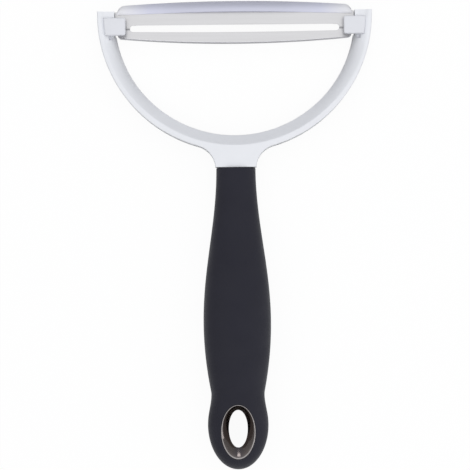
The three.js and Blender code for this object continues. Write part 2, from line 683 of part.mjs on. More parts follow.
// Hanging hole: ellipses bigger than the hole at its narrowest, which move towards the tail as they grow
function ovalAt(angle, grow) {
  const [across, along] = [HOLE_WIDTH / 2 + grow, HOLE_LENGTH / 2 + grow * FUNNEL_ENDS];
  return [across * Math.cos(angle), HOLE_Y - grow * FUNNEL_LEAN + along * Math.sin(angle)];
}

const HOLE_ANGLES = spread(0, 2 * Math.PI, HOLE_SIDES).slice(0, -1);
const LIP_OUTSIDE = FUNNEL + LIP_WIDTH;
const LINER_OUTSIDE = LIP_OUTSIDE - LIP_LEDGE;

// A ring round the hole whose section is given, at each angle, as growth and height pairs.
function holeRing(sectionAt) {
  return loft(
    HOLE_ANGLES.map(sectionAt),
    (i, grow, height) => [...ovalAt(HOLE_ANGLES[i], grow), height],
    true,
  );
}

function holeBore(grow) {
  const points = HOLE_ANGLES.map((angle) => new THREE.Vector2(...ovalAt(angle, grow)));
  return extrude(new THREE.Shape(points), -FAR, FAR);
}

function lipHeight(angle, side) {
  return gripSurface(...ovalAt(angle, LIP_OUTSIDE), side) + side * LIP_PROUD;
}

// The recess in the grip that a lip lies in.
function lipSeat(side) {
  return holeRing((angle) => {
    const floor = lipHeight(angle, side) - side * (LIP_DEPTH + FIT);
    return [
      [0, floor],
      [LIP_OUTSIDE + FIT, floor],
      [LIP_OUTSIDE + FIT, floor + side * FAR],
      [0, floor + side * FAR],
    ];
  });
}

function hangRing(side) {
  return holeRing((angle) => {
    const face = lipHeight(angle, side);
    const joint = lipHeight(angle, 1) - FUNNEL_DEPTH + (side * FIT) / 2;
    const edge = face - side * LIP_ROUND;
    return [
      [0, joint],
      [FUNNEL, edge],
      [FUNNEL + LIP_ROUND, face],
      [LIP_OUTSIDE - LIP_ROUND, face],
      [LIP_OUTSIDE, edge],
      [LIP_OUTSIDE, face - side * LIP_DEPTH],
      [LINER_OUTSIDE, face - side * LIP_DEPTH],
      [LINER_OUTSIDE, joint],
    ];
  });
}

function handleCore() {
  const half = TANG_WIDTH / 2 + FIT;
  const depth = TANG_DEPTH / 2 + FIT;
  const pocketEnd = GRIP_TOP - TANG_LENGTH - FIT;
  const pocket = box(-half, half, pocketEnd, FAR, NECK_MIDDLE - depth, NECK_MIDDLE + depth);
  const cuts = [pocket, holeBore(LINER_OUTSIDE + FIT)];
  const body = solid(handleBody(GRIP_WALL + FIT, 0, CORE_SIDES));
  return cuts.reduce((left, cut) => left.subtract(solid(cut)), body);
}

function grip() {
  const half = TANG_WIDTH / 2 + FIT;
  const depth = TANG_DEPTH / 2 + FIT;
  const mouth = box(-half, half, GRIP_TOP - 2 * GRIP_WALL, FAR, NECK_MIDDLE - depth, NECK_MIDDLE + depth);
  const hollow = handleBody(GRIP_WALL, 0, CORE_SIDES);
  const cuts = [hollow, mouth, holeBore(LINER_OUTSIDE + FIT), lipSeat(1), lipSeat(-1)];
  const body = solid(handleBody(0, GRIP_EDGE, GRIP_SIDES));
  return cuts.reduce((left, cut) => left.subtract(solid(cut)), body);
}

// Finishes
const castMetal = { color: 0xdadce2, roughness: 0.45, metalness: 0.35 };
const capPlastic = { color: 0xdcdde2, roughness: 0.5, metalness: 0.1 };
const steel = { color: 0xc8c8cc, roughness: 0.3, metalness: 1 };
const corePlastic = { color: 0x202124, roughness: 0.6, metalness: 0 };
const softGrip = { color: 0x2e2e38, roughness: 0.75, metalness: 0 };
const darkPlate = { color: 0x5a5654, roughness: 0.12, metalness: 1 };

const peeler = new THREE.Group();

function addPiece(name, geometry, finish) {
  const mesh = new THREE.Mesh(geometry, new THREE.MeshStandardMaterial(finish));
  mesh.name = name;
  peeler.add(mesh);
}

function addPair(name, made, finish) {
  const right = geometryOf(made);
  const left = geometryOf(solid(mirrored(right)));
  addPiece(name + "_left", left, finish);
  addPiece(name + "_right", right, finish);
}

addPiece("fork", geometryOf(fork()), castMetal);
addPair("pivot_cap", pivotCap(), capPlastic);
addPair("pivot_pin", pivotPin(), steel);
addPiece("blade", geometryOf(blade()), steel);
addPiece("blade_spine", geometryOf(bladeSpine()), castMetal);
addPiece("handle_core", geometryOf(handleCore()), corePlastic);
addPiece("grip", geometryOf(grip()), softGrip);
addPiece("hang_ring_front", geometryOf(solid(hangRing(1))), darkPlate);
addPiece("hang_ring_rear", geometryOf(solid(hangRing(-1))), darkPlate);

export default peeler;
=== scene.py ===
# Looks of the wide Y-peeler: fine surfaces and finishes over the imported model, with stage, light and camera.
# Lengths are in millimetres in the model's own frame, and become metres where Blender takes them.
import json
import math

import bmesh
import bpy
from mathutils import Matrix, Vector


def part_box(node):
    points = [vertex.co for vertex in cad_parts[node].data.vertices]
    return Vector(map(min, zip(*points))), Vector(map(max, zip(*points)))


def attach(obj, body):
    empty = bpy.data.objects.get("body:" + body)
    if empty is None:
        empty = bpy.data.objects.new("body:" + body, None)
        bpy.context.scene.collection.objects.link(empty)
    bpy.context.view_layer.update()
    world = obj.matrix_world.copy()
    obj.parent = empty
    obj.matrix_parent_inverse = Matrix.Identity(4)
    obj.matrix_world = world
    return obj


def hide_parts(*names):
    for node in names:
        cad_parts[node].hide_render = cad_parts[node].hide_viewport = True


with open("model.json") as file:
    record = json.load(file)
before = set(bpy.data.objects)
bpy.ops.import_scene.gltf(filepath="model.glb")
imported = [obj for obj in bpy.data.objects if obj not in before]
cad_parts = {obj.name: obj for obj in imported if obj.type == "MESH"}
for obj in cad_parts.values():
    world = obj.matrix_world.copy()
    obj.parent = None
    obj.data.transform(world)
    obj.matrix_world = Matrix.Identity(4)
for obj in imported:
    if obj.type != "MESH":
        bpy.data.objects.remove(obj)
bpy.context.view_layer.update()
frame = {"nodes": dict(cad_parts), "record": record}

MM = 0.001


def node_box(node):
    low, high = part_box(node)
    return low / MM, high / MM


# Places read from the frame
fork_low, fork_high = node_box("fork")
grip_low, grip_high = node_box("grip")
pivot = Vector(frame["record"]["behaviour"]["joints"][0]["pos_m"]) / MM

# Clearances
FIT = 0.15  # between pieces that are fixed together
SEAM = 0.05  # between pieces that show no gap
PLAY = 0.08  # round a pin in the seat it turns in
SIDE_PLAY = 0.3  # between a blade end and the fork tip beside it
OVERRUN = 1  # how far a cut, or a piece that is joined on, runs past a face
FAR = 200  # longer than anything that a cut runs through

# Fork, with drops and rises measured from the centre of its arcs
PIVOT_DROP = 5
FORK_Y = pivot.y + PIVOT_DROP
FORK_OUTER_RADIUS = fork_high.x
ARM_WIDTH = 6.9
FORK_INNER_RADIUS = FORK_OUTER_RADIUS - ARM_WIDTH
FORK_DEPTH = 8.7  # front to back at the tips
ARM_FLAT = 14  # the arms lie flat on the table for this far below the centre
ARM_RAISED = 0.9  # and reach the neck's height at this share of the inner radius
BEVEL_WIDTH = 4.4  # sloping inner band, as seen from the front
ARM_SPREAD = 1  # the bevel is this much wider towards the tips
ARM_SWELL = 2.4  # and curved towards a corner this far in front of it, though it is flat at the neck
RIM_RADIUS = FORK_INNER_RADIUS + BEVEL_WIDTH
INNER_WALL = 1.8  # upright inner wall behind the bevel, at the tips
NECK_WALL = 5  # and at the neck
EDGE_ROUND = 0.5
BACK_ROUND = 0.35
SOFT_TURN = 0.06  # share of the bevel that rounds off into the rim and the inner wall
TIP_RISE = fork_high.y - FORK_Y
TIP_INSET = 0.3  # the tips' inner faces stand this far inside the inner arc
TIP_FACE = FORK_INNER_RADIUS - TIP_INSET
TIP_STEP = 0.6  # the pad at each tip lies this far below the front rim
NECK_WIDTH = 17.4
NECK_DEPTH = 9
NECK_LIFT = 2.5  # height of the neck's back above the table
NECK_FILLET = 10
NECK_MIDDLE = NECK_LIFT + NECK_DEPTH / 2
TANG_WIDTH = 9
TANG_DEPTH = 4
TANG_LENGTH = grip_high.y - fork_low.y
TANG_NOTCH = 1.2  # radius of the notches that key the tang into the core
TANG_NOTCHES = 4  # on each side

# Pivots
PIN_RADIUS = 1.1
PIN_LENGTH = 4.2  # inside the fork tip
PIN_HEAD_RADIUS = 1.75  # the blade lies just in front of the heads
SEAT_HEIGHT = pivot.z - FIT / 2
CAP_REACH = 4.87  # from the tip's inner face in over the blade end
CAP_HEIGHT = 7.6
CAP_PROUD = 0.5  # above the fork's front
CAP_FRONT = FORK_DEPTH + CAP_PROUD
CAP_ROOF = 1.4  # thickness over the blade end
CAP_CORNER = 0.9
CAP_EDGE = 0.6
CAP_TOP = pivot.y + CAP_HEIGHT / 2
CAP_BOTTOM = pivot.y - CAP_HEIGHT / 2
CAP_PEG_RADIUS = 0.6
CAP_PEG_LENGTH = 2
CAP_PEG_SPREAD = 2.5  # either side of the pivot
CAP_PEG_X = (TIP_FACE + RIM_RADIUS) / 2
CAP_PEG_Y = [pivot.y - CAP_PEG_SPREAD, pivot.y + CAP_PEG_SPREAD]
CLIP_WIDTH = 1.3
CLIP_LENGTH = 1.6
CLIP_DEPTH = 2.6
CLIP_INSET = 1.1  # from the tip's inner face

# Blade
BLADE_THICKNESS = 0.6
BLADE_BACK = pivot.z + PIN_HEAD_RADIUS + FIT
BLADE_FRONT = BLADE_BACK + BLADE_THICKNESS
BLADE_DROP = 12.35  # middle of the lower edge
BLADE_BOW = 2.3  # the lower edge is this much higher at its ends
BLADE_CORNER = 1.6
BLADE_INSET = 0.5  # its lower corners stop this far inside the folded ends
CURL_RADIUS = 1.4  # outside of the lower edge, which turns up
CURL_ANGLE = 0.8
EAR_RADIUS = 2.4  # the ends fold back round the pins
EAR_WRAP = math.radians(150)  # with a rounding of this angle
EAR_RISE = 1.55  # and run up beside the spine
EAR_OUTSIDE = TIP_FACE - SIDE_PLAY
EAR_INSIDE = EAR_OUTSIDE - BLADE_THICKNESS
BLADE_END = EAR_INSIDE - BLADE_INSET
SLOT_MARGIN = 5.1  # from each end of the slot to the end of the lower edge
SLOT_END = BLADE_END - SLOT_MARGIN
SLOT_DROP = 4.15  # cutting edge
SLOT_HEIGHT = 2.75  # at its ends
SLOT_BOW = 0.37  # extra height in the middle
GRIND_WIDTH = 1.3  # ground bevel behind the cutting edge
GRIND_LAND = 0.2
CREASE_DROP = 5.83  # pressed lines that run on from the slot
CREASE_WIDTH = 0.8
CREASE_LENGTH = 3.4
CREASE_DEPTH = 0.4
CREASE_FLOOR = BLADE_FRONT - CREASE_DEPTH
CREASE_NEAR = 0.05  # faces this near the height of the crease's floor belong to it, and are given a darker steel as painted shade

# Spine moulded over the blade's back edge
SPINE_END = EAR_INSIDE - FIT
SPINE_RISE = 6.6  # middle of its back edge
SPINE_BOW = 2.35  # the back edge is this much lower at its ends
SPINE_FOOT = 1.2  # middle of its edge on the blade's front
SPINE_FOOT_BOW = 1  # this edge is so much lower at its ends
SPINE_STEP = 2  # its front stands this far over the blade in the middle
SPINE_STEP_END = 30  # the step fades out this far from the middle
SPINE_FEATHER = 0.1  # thickness of its edge beyond there
SPINE_SKIN = 0.3  # thickness over the blade beyond there
SPINE_FLAT = 0.7  # from its edge to where its front begins to curve back
SPINE_STEEP = 0.42  # share of the curve's run in which it would fall if it stayed at its steepest
SPINE_DEPTH = 4.4  # behind the blade's back in the middle
SPINE_END_DEPTH = 1.1  # and at its ends
SPINE_HEEL = 0.5  # thickness of its edge on the blade's back
SPINE_CORNER = 3.2
SPINE_NOSE = 0.5  # rounding of its back edge
SPINE_HOLD = 1.6  # how far the blade reaches into it
SPINE_PEGS = 6
SPINE_PEG_RADIUS = 0.4
SPINE_PEG_PITCH = 13
SPINE_PEG_END = SPINE_PEG_PITCH * (SPINE_PEGS - 1) / 2
SEAM_ROUND = 0.12  # rounding of its edge on the blade's front

# Handle, with stations measured from the top of the grip
GRIP_TOP = grip_high.y
HANDLE_LENGTH = grip_high.y - grip_low.y
BELLY_WIDTH = grip_high.x - grip_low.x
BELLY_THICKNESS = grip_high.z - grip_low.z
TOP_WIDTH = 16.7
TOP_THICKNESS = 12
BELLY_STATION = 65.5
BELLY_CURVE = 148  # radius of the outline below the belly
TAIL_WIDTH = 25.7
TAIL_LENGTH = 18.9  # the rounded tail is half an ellipse this long
TAIL_THICKNESS = 15.2
TAIL_HEIGHT = 9.2  # of its middle above the table
TAIL_NOSE = 10  # length over which the tail thins to its end
TAIL_TIP = 0.05  # half size of the blunt point that closes the tail
TAIL_STATION = HANDLE_LENGTH - TAIL_LENGTH
WAIST_BLEND = 3.2  # softens the hollow between belly and tail
SECTION_POWER = 2.3  # 2 is an ellipse, more is squarer
GRIP_EDGE = 0.6
GRIP_WALL = 2

# Hanging hole
HOLE_INSET = 17.7  # from its middle to the end of the tail
HOLE_Y = grip_low.y + HOLE_INSET
HOLE_WIDTH = 8
HOLE_LENGTH = 16
FUNNEL = 2.7  # the mouths are this much bigger at the sides
FUNNEL_ENDS = 1.09  # this many times that at the ends
FUNNEL_LEAN = 0.33  # and lie nearer the end of the tail by this share of it
FUNNEL_DEPTH = 3.2  # from the front mouth to where the hole is narrowest and the two rings meet
FUNNEL_CROWN = 1.08  # at 1 the wall is straight, above it the rise eases off towards the lip
LIP_WIDTH = 0.55
LIP_DEPTH = 0.8
LIP_PROUD = 0.2
LIP_OUTSIDE = FUNNEL + LIP_WIDTH
LIP_LEDGE = 0.35  # the lip overhangs the rest of the ring
LINER_OUTSIDE = LIP_OUTSIDE - LIP_LEDGE

# How finely surfaces are divided
ARM_STEPS = 90
FILLET_STEPS = 16
FOOT_STEPS = 6
BEVEL_STEPS = 14
EDGE_STEPS = 6
BLADE_STEPS = 80
CORNER_STEPS = 10
CROWN_STEPS = 20
ROD_SIDES = 48
GRIP_SIDES = 144
GRIP_STATIONS = 60
HOLE_SIDES = 160
WALL_STEPS = 16
BEAD_STEPS = 2 * EDGE_STEPS
SMOOTH_ANGLE = math.radians(32)


# Meshes
def mesh_object(name, points, faces):
    mesh = bpy.data.meshes.new(name)
    mesh.from_pydata([Vector(point) * MM for point in points], [], faces)
    form = bmesh.new()
    form.from_mesh(mesh)
    bmesh.ops.recalc_face_normals(form, faces=form.faces)
    form.to_mesh(mesh)
    form.free()
    made = bpy.data.objects.new(name, mesh)
    bpy.context.scene.collection.objects.link(made)
    return made


def loft(name, rings, closed=False):
    """A skin over a row of closed rings with equal point counts.

    It is capped at both ends, or runs on from the last ring to the first where it is closed."""
    count = len(rings[0])
    points = [point for ring in rings for point in ring]
    faces = []
    bands = len(rings) if closed else len(rings) - 1
    for band in range(bands):
        here = band * count
        there = (band + 1) % len(rings) * count
        for i in range(count):
            j = (i + 1) % count
            faces.append((here + i, here + j, there + j, there + i))
    if not closed:
        last = len(points) - count
        faces.append(tuple(range(count)))
        faces.append(tuple(range(last, last + count)))
    return mesh_object(name, points, faces)


def block(x0, x1, y0, y1, z0, z1):
    corners = [(x0, y0), (x1, y0), (x1, y1), (x0, y1)]
    return prism(corners, z0, z1)


def prism(outline, z0, z1):
    """An outline in X and Y, raised between two heights."""
    return loft("prism", [[(x, y, z) for x, y in outline] for z in (z0, z1)])


def plate(outline, x0, x1):
    """A side view in Y and Z, between two places along X."""
    return loft("plate", [[(x, y, z) for y, z in outline] for x in (x0, x1)])


def rod_x(radius, x0, x1, y, z):
    return plate(arc(y, z, radius, 0, 2 * math.pi, ROD_SIDES)[:-1], x0, x1)


def rod_z(radius, x, y, z0, z1):
    return prism(arc(x, y, radius, 0, 2 * math.pi, ROD_SIDES)[:-1], z0, z1)


def apply_modifiers(target):
    graph = bpy.context.evaluated_depsgraph_get()
    old = target.data
    target.data = bpy.data.meshes.new_from_object(target.evaluated_get(graph))
    target.modifiers.clear()
    bpy.data.meshes.remove(old)


def combine(target, tool, operation):
    step = target.modifiers.new(operation, "BOOLEAN")
    step.operation = operation
    step.solver = "EXACT"
    step.object = tool
    apply_modifiers(target)
    bpy.data.meshes.remove(tool.data)


def join(target, *tools):
    for tool in tools:
        combine(target, tool, "UNION")
    return target


def cut(target, *tools):
    for tool in tools:
        combine(target, tool, "DIFFERENCE")
    return target


def mirrored(made):
    """A copy on the other side of the handle."""
    points = [(-v.co.x / MM, v.co.y / MM, v.co.z / MM) for v in made.data.vertices]
    faces = [tuple(face.vertices) for face in made.data.polygons]
    return mesh_object(made.name + "_mirrored", points, faces)


def both_sides(made):
    return [made, mirrored(made)]


# Curves
def lerp(a, b, t):
    return a + (b - a) * t


def ease(t):
    """From 0 to 1, with a soft start and end."""
    return (1 - math.cos(math.pi * min(max(t, 0), 1))) / 2


def spread(start, end, steps):
    """Evenly spaced values from start to end, with both."""
    return [lerp(start, end, i / steps) for i in range(steps + 1)]


def arc(u, w, radius, start, end, steps):
    return [(u + radius * math.cos(a), w + radius * math.sin(a)) for a in spread(start, end, steps)]


def bend_at(start, corner, end, t):
    """A point on the curve that leaves start and reaches end along the lines to their corner."""
    return tuple(lerp(lerp(a, b, t), lerp(b, c, t), t) for a, b, c in zip(start, corner, end))


def bend(start, corner, end, steps):
    return [bend_at(start, corner, end, t) for t in spread(0, 1, steps)]


def inset(outline, amount):
    """An anticlockwise outline, drawn in by an amount."""
    drawn = []
    for i, (x, y) in enumerate(outline):
        before = Vector(outline[i]) - Vector(outline[i - 1])
        after = Vector(outline[(i + 1) % len(outline)]) - Vector(outline[i])
        first = Vector((-before.y, before.x)).normalized()
        second = Vector((-after.y, after.x)).normalized()
        step = (first + second) / (1 + first.dot(second)) * amount
        drawn.append((x + step.x, y + step.y))
    return drawn


# Fork
def fork_outer_edge():
    """The right half of the outline, from past the tip to the middle of the neck's foot.

    Each stop is a place on the outline, the way out of it, and the angle of the inner arc
    that it belongs to."""
    away = NECK_WIDTH / 2 + NECK_FILLET
    down = math.sqrt((FORK_OUTER_RADIUS + NECK_FILLET) ** 2 - away**2)
    meet = -math.atan2(down, away)
    foot = GRIP_TOP + FIT - FORK_Y
    past_tip = math.asin((TIP_RISE + OVERRUN) / FORK_INNER_RADIUS)
    edge = []
    for angle in spread(past_tip, meet, ARM_STEPS):
        way = Vector((math.cos(angle), math.sin(angle)))
        edge.append((way * FORK_OUTER_RADIUS, way, angle))
    neck = []
    fillet_end = math.pi - math.asin((foot + down) / NECK_FILLET)
    for angle in spread(meet + math.pi, fillet_end, FILLET_STEPS)[1:]:
        way = Vector((math.cos(angle), math.sin(angle)))
        neck.append((Vector((away, -down)) + way * NECK_FILLET, -way))
    half = neck[-1][0].x
    for across in spread(half, 0, FOOT_STEPS)[1:]:
        neck.append((Vector((across, foot)), Vector((1, 0)) * (across / half)))
    for i, (place, way) in enumerate(neck, 1):
        edge.append((place, way, lerp(meet, -math.pi / 2, i / len(neck))))
    return edge


def fork_ring(place, way, angle):
    """The fork's section at a stop: flat back and rim, bevel, and an upright inner wall."""
    drop = -FORK_INNER_RADIUS * math.sin(angle)
    raised = ease((drop - ARM_FLAT) / (ARM_RAISED * FORK_INNER_RADIUS - ARM_FLAT))
    back = NECK_LIFT * raised
    front = lerp(FORK_DEPTH, NECK_LIFT + NECK_DEPTH, raised)
    wall = back + lerp(INNER_WALL, NECK_WALL, raised)
    rise = front - wall
    width = BEVEL_WIDTH + ARM_SPREAD * (1 - raised)
    swell = ARM_SWELL * (1 - raised) / math.hypot(width, rise)
    inward = Vector((math.cos(angle), math.sin(angle)))

    def inner(radius, height):
        return (inward.x * radius, FORK_Y + inward.y * radius, height)

    def outer(tuck, height):
        spot = place - way * tuck
        return (spot.x, FORK_Y + spot.y, height)

    # Points of a rounded edge, as shares of its radius off the face it leaves and short of the one it meets
    turn = [(1 - math.cos(a), 1 - math.sin(a)) for a in spread(0, math.pi / 2, EDGE_STEPS)]
    rim = (FORK_INNER_RADIUS + width, front)
    inner_edge = (FORK_INNER_RADIUS, wall)
    middle = (FORK_INNER_RADIUS + width / 2 - rise * swell, wall + rise / 2 + width * swell)
    bevel = [bend_at(rim, middle, inner_edge, t) for t in spread(SOFT_TURN, 1 - SOFT_TURN, BEVEL_STEPS)]
    rim_end = (rim[0] + SOFT_TURN * width, front)
    wall_top = (FORK_INNER_RADIUS, wall - SOFT_TURN * rise)
    return [
        *[inner(FORK_INNER_RADIUS + BACK_ROUND * u, back + BACK_ROUND * w) for u, w in turn],
        *[outer(EDGE_ROUND * w, back + EDGE_ROUND * u) for u, w in turn],
        *[outer(EDGE_ROUND * u, front - EDGE_ROUND * w) for u, w in turn],
        *[inner(*spot) for spot in bend(rim_end, rim, bevel[0], EDGE_STEPS)],
        *[inner(*spot) for spot in bevel[1:-1]],
        *[inner(*spot) for spot in bend(bevel[-1], inner_edge, wall_top, EDGE_STEPS)],
    ]


def fork_body():
    right = [fork_ring(*stop) for stop in fork_outer_edge()]
    left = [[(-x, y, z) for x, y, z in ring] for ring in reversed(right[:-1])]
    return loft("cast_fork", right + left)


def fork_tang():
    half = TANG_WIDTH / 2
    low, high = NECK_MIDDLE - TANG_DEPTH / 2, NECK_MIDDLE + TANG_DEPTH / 2
    bar = block(-half, half, GRIP_TOP - TANG_LENGTH, GRIP_TOP + OVERRUN, low, high)
    pitch = TANG_LENGTH / (TANG_NOTCHES + 1)
    for n in range(1, TANG_NOTCHES + 1):
        cut(bar, *both_sides(rod_z(TANG_NOTCH, half, GRIP_TOP - n * pitch, 0, FAR)))
    return bar


def cap_outline(grow):
    """The right-hand cap seen from the front, grown all round by a clearance."""
    inner = TIP_FACE - CAP_REACH - grow
    low, high = CAP_BOTTOM - grow, CAP_TOP + grow
    radius = RIM_RADIUS - FIT + grow
    low_angle, high_angle = [math.asin((y - FORK_Y) / radius) for y in (low, high)]
    corner = CAP_CORNER
    return [
        *arc(inner + corner, low + corner, corner, math.pi, 1.5 * math.pi, CORNER_STEPS),
        *arc(0, FORK_Y, radius, low_angle, high_angle, CORNER_STEPS),
        *arc(inner + corner, high - corner, corner, math.pi / 2, math.pi, CORNER_STEPS),
    ]


def clip(grow, top):
    start = TIP_FACE + CLIP_INSET
    low, high = CAP_BOTTOM - CLIP_LENGTH - grow, CAP_BOTTOM + OVERRUN
    return block(start - grow, start + CLIP_WIDTH + grow, low, high, SEAT_HEIGHT + FIT - grow, top)


def tip_cuts():
    """What the right-hand tip loses to hold its cap and pin."""
    peg_end = SEAT_HEIGHT - CAP_PEG_LENGTH - FIT
    return [
        prism(cap_outline(SEAM), SEAT_HEIGHT, FAR),
        rod_x(PIN_RADIUS + PLAY, TIP_FACE - OVERRUN, TIP_FACE + PIN_LENGTH + FIT, pivot.y, pivot.z),
        *[rod_z(CAP_PEG_RADIUS + FIT, CAP_PEG_X, y, peg_end, FAR) for y in CAP_PEG_Y],
        clip(SEAM, FAR),
    ]


def make_fork():
    body = fork_body()
    pad_top = FORK_DEPTH - TIP_STEP
    pad = block(TIP_FACE, RIM_RADIUS + EDGE_ROUND, CAP_BOTTOM, FORK_Y + TIP_RISE, 0, pad_top)
    join(body, fork_tang(), *both_sides(pad))
    swept = pivot.y - math.hypot(EAR_RADIUS, BLADE_FRONT - pivot.z) - SIDE_PLAY
    cut(body, block(-TIP_FACE, TIP_FACE, swept, FAR, -FAR, FAR))
    cut(body, block(-FAR, FAR, FORK_Y + TIP_RISE, FAR, -FAR, FAR))
    for tool in tip_cuts():
        cut(body, *both_sides(tool))
    return body


# Pivot caps
def make_cap():
    outline = cap_outline(0)
    floor = SEAT_HEIGHT + FIT
    rings = [[(x, y, floor) for x, y in outline]]
    for a in spread(0, math.pi / 2, EDGE_STEPS):
        drawn = inset(outline, CAP_EDGE * (1 - math.cos(a)))
        rings.append([(x, y, CAP_FRONT - CAP_EDGE * (1 - math.sin(a))) for x, y in drawn])
    cap = loft("cap_right", rings)
    peg_end = SEAT_HEIGHT - CAP_PEG_LENGTH
    pegs = [rod_z(CAP_PEG_RADIUS, CAP_PEG_X, y, peg_end, SEAT_HEIGHT + OVERRUN) for y in CAP_PEG_Y]
    join(cap, *pegs, clip(0, SEAT_HEIGHT + FIT + CLIP_DEPTH))
    room = block(0, TIP_FACE + FIT, -FAR, FAR, -FAR, CAP_FRONT - CAP_ROOF)
    bore = rod_x(PIN_RADIUS + PLAY, 0, TIP_FACE + PIN_LENGTH + FIT, pivot.y, pivot.z)
    return cut(cap, room, bore)


# Blade
def stations(end, corner):
    """Places along X from one end to the other, with those that round the corners close together."""
    bend_in = [end - corner + u for u, _ in arc(0, 0, corner, 0, math.pi / 2, CORNER_STEPS)]
    straight = end - corner
    middle = spread(-straight, straight, BLADE_STEPS)[1:-1]
    return [-x for x in bend_in] + middle + bend_in[::-1]


def corner_drop(x, end, corner):
    """How far a rounded corner draws the edge in at a place along X."""
    past = max(abs(x) - end + corner, 0)
    return corner - math.sqrt(max(corner**2 - past**2, 0))


def spine_top(x):
    return FORK_Y + SPINE_RISE - SPINE_BOW * (x / SPINE_END) ** 2 - corner_drop(x, SPINE_END, SPINE_CORNER)


def spine_foot(x):
    return FORK_Y + SPINE_FOOT - SPINE_FOOT_BOW * (x / SPINE_END) ** 2


def blade_top(x):
    return spine_foot(x) + SPINE_HOLD


def blade_bottom(x):
    return FORK_Y - BLADE_DROP + BLADE_BOW * (x / BLADE_END) ** 2 + corner_drop(x, BLADE_END, BLADE_CORNER)


def blade_ring(x):
    turn_y = blade_bottom(x) + CURL_RADIUS * math.sin(CURL_ANGLE)
    inside = CURL_RADIUS - BLADE_THICKNESS
    middle = BLADE_BACK + CURL_RADIUS
    flat, turned = 1.5 * math.pi, 1.5 * math.pi - CURL_ANGLE
    section = [
        (blade_top(x), BLADE_FRONT),
        *arc(turn_y, middle, inside, flat, turned, EDGE_STEPS),
        *arc(turn_y, middle, CURL_RADIUS, turned, flat, EDGE_STEPS),
        (blade_top(x), BLADE_BACK),
    ]
    return [(x, y, z) for y, z in section]


def slot_outline():
    cutting = FORK_Y - SLOT_DROP
    round_end = SLOT_HEIGHT / 2
    end = SLOT_END - round_end
    low = cutting - SLOT_HEIGHT
    lower = bend((-end, low), (0, low - 2 * SLOT_BOW), (end, low), BLADE_STEPS)
    right = arc(end, low + round_end, round_end, -math.pi / 2, math.pi / 2, CORNER_STEPS)
    left = arc(-end, low + round_end, round_end, math.pi / 2, 1.5 * math.pi, CORNER_STEPS)
    return lower[:-1] + right + left[:-1]


def ear_outline():
    far = FORK_Y + EAR_RISE
    near = pivot.y - EAR_RADIUS
    return [
        (far, BLADE_FRONT),
        (near, BLADE_FRONT),
        *arc(pivot.y, pivot.z, EAR_RADIUS, math.pi, math.pi + EAR_WRAP, CORNER_STEPS),
        (far, BLADE_BACK),
    ]


def spine_pegs(radius, z0, z1):
    places = spread(-SPINE_PEG_END, SPINE_PEG_END, SPINE_PEGS - 1)
    return [rod_z(radius, x, (spine_foot(x) + blade_top(x)) / 2, z0, z1) for x in places]


def make_blade():
    strip = loft("slotted_blade", [blade_ring(x) for x in stations(BLADE_END, BLADE_CORNER)])
    ear = plate(ear_outline(), EAR_INSIDE, EAR_OUTSIDE)
    foot_low, foot_high = pivot.y - EAR_RADIUS, FORK_Y + EAR_RISE
    foot = block(BLADE_END - OVERRUN, EAR_OUTSIDE, foot_low, foot_high, BLADE_BACK, BLADE_FRONT)
    join(strip, *both_sides(foot), *both_sides(ear))
    cutting = FORK_Y - SLOT_DROP
    grind = [
        (cutting - OVERRUN, BLADE_BACK - OVERRUN),
        (cutting + GRIND_WIDTH, BLADE_BACK - OVERRUN),
        (cutting + GRIND_WIDTH, BLADE_BACK),
        (cutting, BLADE_FRONT - GRIND_LAND),
        (cutting - OVERRUN, BLADE_FRONT - GRIND_LAND),
    ]
    grind_end = SLOT_END - SLOT_HEIGHT
    crease_end = SLOT_END + CREASE_LENGTH
    crease_low = FORK_Y - CREASE_DROP - CREASE_WIDTH / 2
    crease_high = crease_low + CREASE_WIDTH
    cut(strip, plate(grind, -grind_end, grind_end))
    cut(strip, prism(slot_outline(), -FAR, FAR))
    cut(strip, block(-crease_end, crease_end, crease_low, crease_high, CREASE_FLOOR, BLADE_FRONT + OVERRUN))
    cut(strip, *both_sides(rod_x(PIN_RADIUS + FIT, EAR_INSIDE - OVERRUN, FAR, pivot.y, pivot.z)))
    cut(strip, *spine_pegs(SPINE_PEG_RADIUS + FIT, -FAR, FAR))
    return strip


# The crease's floor faces, which get a darker steel as painted shade.
def painted_crease_shade_faces(strip):
    return [face for face in strip.data.polygons if abs(face.center.z / MM - CREASE_FLOOR) < CREASE_NEAR]


# Spine
def spine_ring(x):
    foot = spine_foot(x)
    top = spine_top(x)
    bulge = 1 - (x / SPINE_END) ** 2
    step = max(1 - (x / SPINE_STEP_END) ** 2, 0)
    lip = lerp(SPINE_FEATHER, SPINE_STEP, step)
    edge = BLADE_FRONT + FIT + lip
    front = BLADE_FRONT + FIT + lerp(SPINE_SKIN, SPINE_STEP, step)
    back = BLADE_BACK - lerp(SPINE_END_DEPTH, SPINE_DEPTH, bulge)
    nose = back + SPINE_NOSE
    shoulder = foot + SPINE_FLAT
    crown = bend((top, nose), (lerp(top, shoulder, SPINE_STEEP), front), (shoulder, front), CROWN_STEPS)
    round_in = lerp(edge, front, SEAM_ROUND / SPINE_FLAT)
    section = [
        (foot, BLADE_BACK - FIT - SPINE_HEEL),
        *arc(top - SPINE_NOSE, nose, SPINE_NOSE, -math.pi / 2, 0, EDGE_STEPS)[:-1],
        *crown,
        *bend((foot + SEAM_ROUND, round_in), (foot, edge), (foot, edge - SEAM_ROUND), EDGE_STEPS),
    ]
    return [(x, y, z) for y, z in section]


